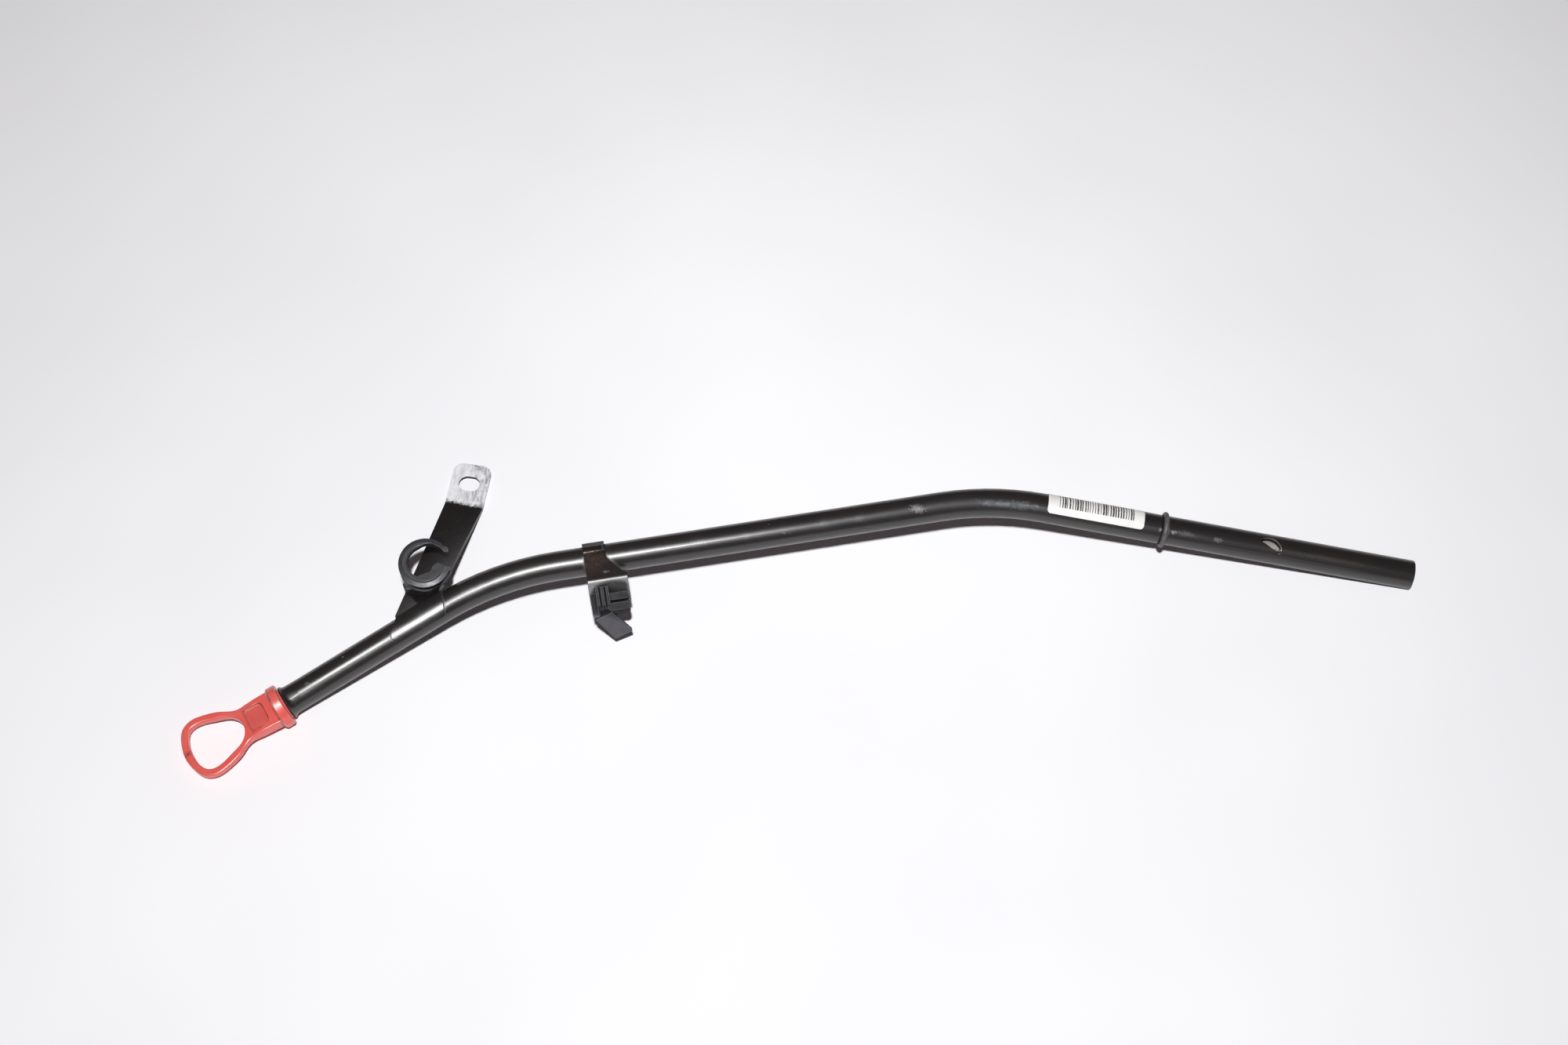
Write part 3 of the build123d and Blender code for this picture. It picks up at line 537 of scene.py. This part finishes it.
def dip_painted_plate(look, plate):
    """Black dip paint on folded sheet steel.

    It has a painted brownish reflection over the tube, is glossy along the fold, and is dull and greyed in clouds
    on the flat plate, mostly at its sides.
    """
    material, add, at, skin, wave = dip_paint(look, "dip painted sheet steel")
    local = add(
        "Mapping",
        {"Vector": at, "Location": PLATE_FOLD, "Rotation": turn_of(MIDDLE_RUN, OFF_BENDS)},
        vector_type="TEXTURE",
    )
    # A paler grey in clouds on the flat plate, weaker in its middle than at its sides
    over_tube = span(add, local, "Y", -2.0, 60.0, soft_mm=1.0)
    flat = add("Math", {0: 1.0, 1: over_tube}, operation="SUBTRACT")
    across = add("SeparateXYZ", {"Vector": local}, "X")
    aside = add("Math", {0: across}, operation="ABSOLUTE")
    sides = {"Value": aside, "From Min": 4 * MM, "From Max": 8 * MM, "To Min": 0.15}
    greyed = flat
    for share in (patches(add, at, 3.0, CLOUDS, (0.2, 0.75)), add("MapRange", sides)):
        greyed = add("Math", {0: greyed, 1: share}, operation="MULTIPLY")
    lay_over(add, skin, greyed, rgba(plate.dust))
    skin["Roughness"] = add("Mix", {"Factor": flat, 2: skin["Roughness"], 3: plate.plate_gloss})
    # Painted brownish reflection on the part over the tube
    painted_brown_reflection = mark(
        add, at, (-102.6, 9.5, 41.0), MIDDLE_RUN, 20.0, 13.0, ragged=0.3, grain_mm=3.0
    )
    lay_over(add, skin, painted_brown_reflection, rgba(plate.painted_brown_reflection))
    lay_marks_and_glints(add, at, skin, PLATE_MARKS, look.rubbed_and_painted_light, roughness=0.4, metal=0.2)
    # Gloss as far back as the fold, and hardly any over the tube
    depth = add("SeparateXYZ", {"Vector": at}, "Y")
    dulling = {"From Min": 10.5 * MM, "From Max": 12.5 * MM, "To Min": 0.55, "To Max": 0.02}
    skin["Specular IOR Level"] = add("MapRange", {"Value": depth, **dulling})
    close_skin(add, skin, wave, strength=0.02, depth_mm=0.2, edge_mm=0.35, painted_shade_mm=2.5)
    return material


def moulded_nylon(name, tones, gloss):
    """Starts a skin of moulded nylon: paler clouds of flow marks, uneven gloss and a fine grain.

    Gives the material, its node maker, coordinates, layers and the height of the grain.
    """
    material, add, at = start_material(name)
    uneven = patches(add, at, 3.0, EVEN, (gloss - 0.05, gloss + 0.05))
    skin = start_skin(add, patches(add, at, 5.0, CLOUDS), tones, uneven)
    grain = add("TexNoise", {"Vector": at, "Scale": per_m(0.6), "Detail": 2.0}, "Fac")
    return material, add, at, skin, grain


def satin_nylon(look):
    """Dark grey nylon, moulded: satin, with painted highlights on its edges and painted shade in its corners."""
    tones = (look.satin, look.flow)
    material, add, _, skin, grain = moulded_nylon("moulded satin nylon", tones, look.hose_gloss)
    paint_edge_highlights(add, skin, width_mm=0.3, strength=0.8, colour=look.satin_edge_highlight)
    close_skin(add, skin, grain, strength=0.05, depth_mm=0.05, edge_mm=0.4, painted_shade_mm=4.0)
    return material


def matt_nylon(look):
    """Black glass-filled nylon, moulded: nearly matt, with painted shade in its corners.

    Its edges carry painted pale highlights, and its tongue a painted grey sheen.
    """
    tones = (look.nylon, look.cloud)
    material, add, at, skin, grain = moulded_nylon("moulded matt nylon", tones, look.wiring_gloss)
    # The tongue's paler grey is a painted sheen
    depth = add("SeparateXYZ", {"Vector": at}, "Y")
    tongue = {"Value": depth, "From Min": -12.8 * MM, "From Max": -14.0 * MM}
    uneven = patches(add, at, 4.0, (0.2, 0.6), (0.75, 1.0))
    rubbed_and_painted_light = add("Math", {0: add("MapRange", tongue), 1: uneven}, operation="MULTIPLY")
    lay_over(add, skin, rubbed_and_painted_light, rgba(look.rubbed_and_painted_light))
    paint_edge_highlights(add, skin, width_mm=0.5, strength=0.8, colour=look.nylon_edge_highlight)
    close_skin(
        add, skin, grain, strength=0.05, depth_mm=0.05, edge_mm=0.4, painted_shade_mm=5.0,
        Specular_IOR_Level=0.22,
    )
    return material


def moulded_rubber(look):
    """Black nitrile rubber, moulded: dull, greyed by a film of dust."""
    material, add, at = start_material("moulded nitrile rubber")
    film = patches(add, at, 2.2, CLOUDS, rough=0.65)
    dull = add("MapRange", {"Value": film, "To Min": 0.42, "To Max": 0.6})
    skin = start_skin(add, film, (look.rubber, look.film), dull)
    grain = add("TexNoise", {"Vector": at, "Scale": per_m(0.7), "Detail": 2.0}, "Fac")
    close_skin(add, skin, grain, strength=0.1, depth_mm=0.1, edge_mm=0.1)
    return material


def moulded_red_nylon(look):
    """Red nylon, moulded: satin, with faint paler clouds and painted pale highlights on its edges.

    Oily specks and a thin film lie on the recess's floor; painted shade lies on its walls and where the neck meets
    the collar.
    """
    material, add, at = start_material("moulded red nylon")
    slope = math.asin(INTO_TUBE.z) - look.lift
    bearing = math.atan2(INTO_TUBE.y, INTO_TUBE.x) + look.turn
    level = math.cos(slope)
    out = -Vector((math.cos(bearing) * level, math.sin(bearing) * level, math.sin(slope)))
    side = Vector((math.sin(bearing), -math.cos(bearing), 0))
    mouth = UPPER_SEAL - INTO_TUBE * look.seal_depth
    local = add(
        "Mapping",
        {"Vector": at, "Location": mouth, "Rotation": turn_of(out, out.cross(side))},
        vector_type="TEXTURE",
    )
    # From the tube's mouth, X is out along the handle, Y across it and Z up
    uneven = patches(add, at, 4.0, EVEN, (0.28, 0.36))
    skin = start_skin(add, patches(add, at, 12.0, CLOUDS), (look.red, look.worn), uneven)
    paint_edge_highlights(add, skin, width_mm=0.6, strength=0.4, colour=look.edge)

    # Recess: a thin film with oily specks on its floor, and painted shade on its walls, most by the collar
    long = span(add, local, "X", 10.0, 21.0)
    wide = span(add, local, "Y", -6.6, 6.6)
    square = add("Math", {0: long, 1: wide}, operation="MULTIPLY")
    floor = add("Math", {0: square, 1: span(add, local, "Z", 2.0, 2.5)}, operation="MULTIPLY")
    upright = span(add, local, "Z", 2.45, 3.2, soft_mm=0.08)
    wall = add("Math", {0: square, 1: upright}, operation="MULTIPLY")
    by_collar = span(add, local, "X", 9.0, 12.4, soft_mm=0.4)
    inner = add("Math", {0: wall, 1: by_collar}, operation="MULTIPLY")
    specks = patches(add, at, 0.9, (0.6, 0.72), (0.0, 0.6), rough=0.7)
    film = add("Math", {0: specks, 1: 0.13}, operation="ADD")
    streaky = patches(add, at, 3.5, (0.35, 0.65), (0.15, 0.75))
    dirt_and_painted_shade = add("Math", {0: floor, 1: film}, operation="MULTIPLY")
    for place, amount in ((inner, streaky), (wall, 0.3)):
        more = add("Math", {0: place, 1: amount}, operation="MULTIPLY")
        dirt_and_painted_shade = add("Math", {0: dirt_and_painted_shade, 1: more}, operation="ADD")
    # Painted shade along the crease where the neck goes into the collar, and one stain on the loop
    neck_end = span(add, local, "X", 5.8, 7.2, soft_mm=0.4)
    seam = add("Math", {0: neck_end, 1: streaky}, operation="MULTIPLY")
    stain = mark(add, at, (-290.6, -74.7, 6.2), out, 4.4, 3.4, ragged=0.4, grain_mm=1.6)
    spots = add("Math", {0: seam, 1: stain}, operation="MAXIMUM")
    dirt_and_painted_shade = add("Math", {0: dirt_and_painted_shade, 1: spots}, operation="ADD", use_clamp=True)
    lay_over(add, skin, dirt_and_painted_shade, rgba(look.grime_and_painted_shade))
    grain = add("TexNoise", {"Vector": at, "Scale": per_m(0.9), "Detail": 2.0}, "Fac")
    close_skin(
        add, skin, grain, strength=0.04, depth_mm=0.06, edge_mm=0.35, Specular_IOR_Level=1.0
    )
    return material


def rolled_spring_steel(look):
    """Rolled spring steel strip: bright, with a brownish film of oil.

    Its rolled lines are too fine to see apart and only make its gloss uneven.
    """
    material, add, at = start_material("rolled spring steel")
    film = patches(add, at, 6.0, (0.35, 0.7))
    uneven = patches(add, at, 1.5, EVEN, (0.24, 0.38))
    skin = start_skin(add, film, (look.steel, look.oil), uneven)
    close_skin(add, skin, film, strength=0.05, depth_mm=0.05, edge_mm=0.1, Metallic=1.0)
    return material


def printed_paper(look):
    """White label paper with a printed row of black bars: matt and faintly mottled.

    Real bars are about a quarter of a millimetre wide; they are drawn coarser, so that they show.
    """
    material, add, at = start_material("printed label paper")
    reach = (middle_of("part_label") - TUBE_SEAL).dot(DOWN_TAIL)
    centre = TUBE_SEAL + DOWN_TAIL * reach
    local = add(
        "Mapping",
        {"Vector": at, "Location": centre, "Rotation": turn_of(OFF_BENDS, DOWN_TAIL)},
        vector_type="TEXTURE",
    )
    x, y, along = (add("SeparateXYZ", {"Vector": local}, axis) for axis in "XYZ")
    turn = add("Math", {0: y, 1: x}, operation="ARCTAN2")

    # One bar in each cell along the tube, its width and start drawn from the cell's number
    count = add("Math", {0: along, 1: look.bar_pitch}, operation="DIVIDE")
    cell = add("Math", {0: count}, operation="FLOOR")
    share = add("Math", {0: count}, operation="FRACT")
    other_cell = add("Math", {0: cell, 1: 57.3}, operation="ADD")
    width = add("TexWhiteNoise", {"W": cell}, "Value", noise_dimensions="1D")
    shift = add("TexWhiteNoise", {"W": other_cell}, "Value", noise_dimensions="1D")
    start = add("Math", {0: shift, 1: 0.3}, operation="MULTIPLY")
    widths = {"From Min": 0.15, "From Max": 0.9, "To Min": 0.28, "To Max": 0.68}
    wide = add("MapRange", {"Value": width, **widths})
    end = add("Math", {0: start, 1: wide}, operation="ADD")

    # The bars fill a block of the label: so far along the tube, and so far round it
    printed = span(add, local, "Z", -look.bar_reach / MM, look.bar_reach / MM, soft_mm=0.02)
    for value, limit, test in (
        (share, start, "GREATER_THAN"),
        (share, end, "LESS_THAN"),
        (turn, math.radians(-96), "GREATER_THAN"),
        (turn, math.radians(-9), "LESS_THAN"),
    ):
        within = add("Math", {0: value, 1: limit}, operation=test)
        printed = add("Math", {0: printed, 1: within}, operation="MULTIPLY")
    worn = patches(add, at, 1.6, (0.3, 0.6), (0.85, 1.0))
    printed = add("Math", {0: printed, 1: worn}, operation="MULTIPLY")
    mottle = patches(add, at, 7.0, (0.3, 0.8))
    uneven = patches(add, at, 2.0, EVEN, (0.5, 0.62))
    skin = start_skin(add, mottle, (look.paper, look.mottle), uneven)
    lay_over(add, skin, printed, rgba(look.ink))
    fibre = add("TexNoise", {"Vector": at, "Scale": per_m(0.6), "Detail": 3.0}, "Fac")
    close_skin(add, skin, fibre, strength=0.08, depth_mm=0.05, edge_mm=0.05)
    return material


def pressed_laminate(look):
    """White laminate of the table top, pressed: matt and even, with broad faint clouds.

    Far from the part, where the lamps don't reach, it stays pale to the camera and in reflections.
    """
    material, add, at = start_material("matt white table top")
    mottle = patches(add, at, 240.0, EVEN, detail=2.0)
    uneven = patches(add, at, 90.0, EVEN, (0.75, 0.85))
    skin = start_skin(add, mottle, (look.table, look.cloud), uneven)
    seen = add("LightPath", {}, "Is Camera Ray")
    for ray in ("Is Glossy Ray", "Is Transmission Ray"):
        seen = add("Math", {0: seen, 1: add("LightPath", {}, ray)}, operation="MAXIMUM")
    reach = add("VectorMath", {0: at}, "Value", operation="LENGTH")
    far = add("MapRange", {"Value": reach, "From Min": 0.6, "From Max": 1.8, "To Max": 0.68})
    skin["Emission Color"] = rgba(look.table)
    skin["Emission Strength"] = add("Math", {0: seen, 1: far}, operation="MULTIPLY")
    close_skin(
        add, skin, mottle, strength=0.02, depth_mm=0.1, edge_mm=0.1, Specular_IOR_Level=0.1
    )
    return material


def lay_table(scene, look):
    """Lays the table: one square, level with the part's underside."""
    half = 6.0
    corners = np.array([(-1, -1, 0), (1, -1, 0), (1, 1, 0), (-1, 1, 0)]) * half
    mesh = bpy.data.meshes.new("table")
    mesh.from_pydata(corners.tolist(), [], [(0, 1, 2, 3)])
    mesh.materials.append(pressed_laminate(look))
    table = bpy.data.objects.new("table", mesh)
    scene.collection.objects.link(table)


def aim_camera(scene, look):
    """Sets the camera where the photograph was taken."""
    camera = bpy.data.objects.new("camera", bpy.data.cameras.new("camera"))
    camera.data.sensor_width = 36.0
    camera.data.sensor_fit = "HORIZONTAL"
    camera.data.lens = look.lens
    camera.data.clip_start = 0.05
    camera.location = CAMERA_EYE
    camera.rotation_euler = (CAMERA_AIM - CAMERA_EYE).to_track_quat("-Z", "Y").to_euler()
    scene.collection.objects.link(camera)
    scene.camera = camera


def hang_lamps(scene, look):
    """Hangs the lamps and sets the soft light all round.

    The key stands by the camera, where the photograph's flash was, and fades to the sides of the
    table. A narrow strip shows only in gloss, along the entry run.
    """
    towards_camera, key_distance = Vector((-0.005, -0.39, 0.921)), 1.8
    by_camera = CAMERA_AIM + towards_camera * key_distance
    past_tube = Vector((-0.011, 0.2, 0))
    over_entry = Vector((-0.33, -0.455, 1.25))
    lamps = (
        ("key", look.key_power, (0.06, 0.06), 110, by_camera, past_tube),
        ("sheen", look.sheen_power, (0.34, 0.05), 180, over_entry, CAMERA_AIM),
    )
    for name, power, (width, height), spread, place, target in lamps:
        lamp = bpy.data.lights.new(name, "AREA")
        lamp.shape = "RECTANGLE"
        lamp.size = width
        lamp.size_y = height
        lamp.spread = math.radians(spread)
        lamp.energy = power
        holder = bpy.data.objects.new(name, lamp)
        holder.location = place
        holder.rotation_euler = (target - place).to_track_quat("-Z", "Y").to_euler()
        holder.visible_camera = False
        holder.visible_diffuse = name == "key"
        scene.collection.objects.link(holder)
    world = bpy.data.worlds.new("studio")
    world.use_nodes = True
    background = world.node_tree.nodes["Background"].inputs
    background["Color"].default_value = rgba(look.air)
    background["Strength"].default_value = look.world
    scene.world = world


class DIPSTICK_OT_paint_tube(bpy.types.Operator):
    """Coats the guide tube."""

    bl_idname = "dipstick.paint_tube"
    bl_label = "Paint guide tube"

    def execute(self, context):
        dress("guide_tube", dip_painted_tube(context.scene.dipstick_look.tube))
        return {"FINISHED"}


class DIPSTICK_OT_coat_brackets(bpy.types.Operator):
    """Coats the mounting bracket, bare at its tab, and the clip bracket."""

    bl_idname = "dipstick.coat_brackets"
    bl_label = "Coat brackets"

    def execute(self, context):
        look = context.scene.dipstick_look
        dress("mounting_bracket", dip_painted_bracket(look.tube, look.bracket))
        dress("clip_bracket", dip_painted_plate(look.tube, look.bracket))
        return {"FINISHED"}


class DIPSTICK_OT_mould_clips(bpy.types.Operator):
    """Finishes the two plastic clips and the three rubber rings."""

    bl_idname = "dipstick.mould_clips"
    bl_label = "Mould clips and rings"

    def execute(self, context):
        look = context.scene.dipstick_look.clips
        rubber = moulded_rubber(look)
        dress("hose_clip", satin_nylon(look))
        dress("wiring_clip", matt_nylon(look))
        for node in ("tube_seal", "plug_seal_upper", "plug_seal_lower"):
            dress(node, rubber)
        return {"FINISHED"}


class DIPSTICK_OT_mould_handle(bpy.types.Operator):
    """Finishes the red pull handle."""

    bl_idname = "dipstick.mould_handle"
    bl_label = "Mould handle"

    def execute(self, context):
        dress("dipstick_handle", moulded_red_nylon(context.scene.dipstick_look.handle))
        return {"FINISHED"}


class DIPSTICK_OT_draw_blade(bpy.types.Operator):
    """Makes the spring blade: a welded copy of the CAD blade's mesh in spring steel, with the CAD node hidden."""

    bl_idname = "dipstick.draw_blade"
    bl_label = "Draw blade"

    def execute(self, context):
        mesh = NODES["dipstick_blade"].data.copy()
        mesh.name = "blade"
        welded = bmesh.new()
        welded.from_mesh(mesh)
        bmesh.ops.remove_doubles(welded, verts=welded.verts, dist=0.001 * MM)
        welded.to_mesh(mesh)
        welded.free()
        mesh.materials.clear()
        mesh.materials.append(rolled_spring_steel(context.scene.dipstick_look.blade))
        blade = bpy.data.objects.new("blade", mesh)
        context.scene.collection.objects.link(blade)
        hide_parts("dipstick_blade")
        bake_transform(blade)
        return {"FINISHED"}


class DIPSTICK_OT_print_label(bpy.types.Operator):
    """Prints the paper label on the tube."""

    bl_idname = "dipstick.print_label"
    bl_label = "Print label"

    def execute(self, context):
        dress("part_label", printed_paper(context.scene.dipstick_look.label))
        return {"FINISHED"}


class DIPSTICK_OT_set_stage(bpy.types.Operator):
    """Sets the white table, the lamps and the camera."""

    bl_idname = "dipstick.set_stage"
    bl_label = "Set stage"

    def execute(self, context):
        look = context.scene.dipstick_look.studio
        lay_table(context.scene, look)
        aim_camera(context.scene, look)
        hang_lamps(context.scene, look)
        context.scene.view_settings.view_transform = "Standard"
        return {"FINISHED"}


class DIPSTICK_PT_look(bpy.types.Panel):
    """Lists the steps that dress the dipstick and their settings."""

    bl_idname = "DIPSTICK_PT_look"
    bl_label = "Dipstick"
    bl_space_type = "VIEW_3D"
    bl_region_type = "UI"
    bl_category = "Dipstick"

    def draw(self, context):
        look = context.scene.dipstick_look
        for operator in OPERATORS:
            self.layout.operator(operator.bl_idname)
        for part in look.__annotations__:
            group = getattr(look, part)
            box = self.layout.box()
            for name in group.__annotations__:
                box.prop(group, name)


GROUPS = (
    TubeFinish,
    BracketFinish,
    ClipFinish,
    HandleFinish,
    BladeFinish,
    LabelPrint,
    StudioLook,
    DipstickLook,
)
OPERATORS = (
    DIPSTICK_OT_paint_tube,
    DIPSTICK_OT_coat_brackets,
    DIPSTICK_OT_mould_clips,
    DIPSTICK_OT_mould_handle,
    DIPSTICK_OT_draw_blade,
    DIPSTICK_OT_print_label,
    DIPSTICK_OT_set_stage,
)


def register():
    for made in (*GROUPS, *OPERATORS, DIPSTICK_PT_look):
        bpy.utils.register_class(made)
    bpy.types.Scene.dipstick_look = bpy.props.PointerProperty(type=DipstickLook)


def unregister():
    del bpy.types.Scene.dipstick_look
    for made in reversed((*GROUPS, *OPERATORS, DIPSTICK_PT_look)):
        bpy.utils.unregister_class(made)


def main():
    register()
    bpy.ops.dipstick.paint_tube()
    bpy.ops.dipstick.coat_brackets()
    bpy.ops.dipstick.mould_clips()
    bpy.ops.dipstick.mould_handle()
    bpy.ops.dipstick.draw_blade()
    bpy.ops.dipstick.print_label()
    bpy.ops.dipstick.set_stage()


if __name__ == "__main__":
    main()
